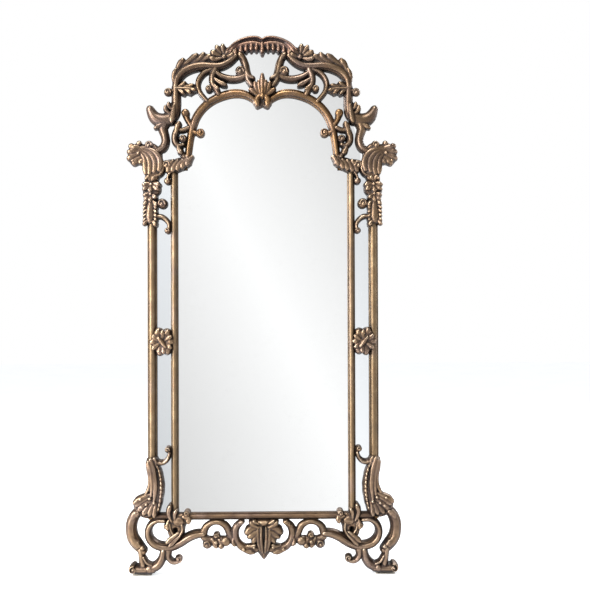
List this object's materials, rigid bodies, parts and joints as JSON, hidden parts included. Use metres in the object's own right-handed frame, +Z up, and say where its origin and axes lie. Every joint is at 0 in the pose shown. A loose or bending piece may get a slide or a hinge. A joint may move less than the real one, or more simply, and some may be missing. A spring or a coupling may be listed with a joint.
{
  "type": "full-length floor mirror",
  "caption": "Tall arched floor mirror in a gilt carved scrollwork frame on scroll feet, with side mirror strips, a pierced mirrored crest and anti-tip rings behind.",
  "frame": {"origin": "on the floor, midway between the feet and midway between the front of the carving and the back of the hardware", "axes": "+Z up the mirror, -Y out of the mirror's face, +X to the viewer's right"},
  "size_m": [1.1086, 0.0972, 2.1602],
  "materials": {
    "mirror_glass": "silvered float glass",
    "gilt_moulding": "antique gold leaf, rubbed",
    "gilt_carving": "antique bronze gold over dark umber glaze",
    "back_board": "bare hardboard",
    "rear_wood": "sawn softwood",
    "zinc_steel": "zinc plated",
    "screw_steel": "yellow zinc plated",
    "bumper_rubber": "matt",
    "pad_felt": "needled felt"
  },
  "bodies": {
    "frame": {"main_mirror_glass": "mirror_glass", "side_mirror_glass_left": "mirror_glass", "side_mirror_glass_right": "mirror_glass", "crest_mirror_glass": "mirror_glass", "bottom_rail": "gilt_moulding", "inner_stile_left": "gilt_moulding", "inner_stile_right": "gilt_moulding", "outer_stile_left": "gilt_moulding", "outer_stile_right": "gilt_moulding", "arch_moulding": "gilt_moulding", "crest_palmette": "gilt_carving", "apron_palmette": "gilt_carving", "crest_shell": "gilt_carving", "elbow_leaf_left": "gilt_carving", "elbow_leaf_right": "gilt_carving", "mid_rosette_left": "gilt_carving", "mid_rosette_right": "gilt_carving", "buttress_leaf_left": "gilt_carving", "buttress_leaf_right": "gilt_carving", "shoulder_horn_left": "gilt_carving", "shoulder_horn_right": "gilt_carving", "crest_arm_left": "gilt_carving", "crest_arm_right": "gilt_carving", "lyre_scroll_left": "gilt_carving", "lyre_scroll_right": "gilt_carving", "crescent_scroll_left": "gilt_carving", "crescent_scroll_right": "gilt_carving", "shoulder_hook_left": "gilt_carving", "shoulder_hook_right": "gilt_carving", "ear_leaf_left": "gilt_carving", "ear_leaf_right": "gilt_carving", "pendant_left": "gilt_carving", "pendant_right": "gilt_carving", "corner_leaf_left": "gilt_carving", "corner_leaf_right": "gilt_carving", "ring_scroll_left": "gilt_carving", "ring_scroll_right": "gilt_carving", "side_scroll_left": "gilt_carving", "side_scroll_right": "gilt_carving", "foot_left": "gilt_carving", "foot_right": "gilt_carving", "apron_scroll_left": "gilt_carving", "apron_scroll_right": "gilt_carving", "main_back_panel": "back_board", "crest_back_panel": "back_board", "rear_stile_left": "rear_wood", "rear_stile_right": "rear_wood", "rear_bottom_rail": "rear_wood", "rear_mid_rail": "rear_wood", "rear_top_rail": "rear_wood", "crest_brace": "rear_wood", "panel_beads": "rear_wood", "hanger_straps": "zinc_steel", "back_screws": "screw_steel", "wall_bumpers": "bumper_rubber", "foot_pads": "pad_felt"},
    "d_ring_left": {"d_ring_left": "zinc_steel"},
    "d_ring_right": {"d_ring_right": "zinc_steel"}
  },
  "joints": [
    {"name": "d_ring_left_swing", "type": "hinge", "parent": "frame", "child": "d_ring_left", "pos_m": [-0.45, 0.0448, 1.48], "axis": [1, 0, 0], "range_deg": [0, 165]},
    {"name": "d_ring_right_swing", "type": "hinge", "parent": "frame", "child": "d_ring_right", "pos_m": [0.45, 0.0448, 1.48], "axis": [1, 0, 0], "range_deg": [0, 165]}
  ]
}
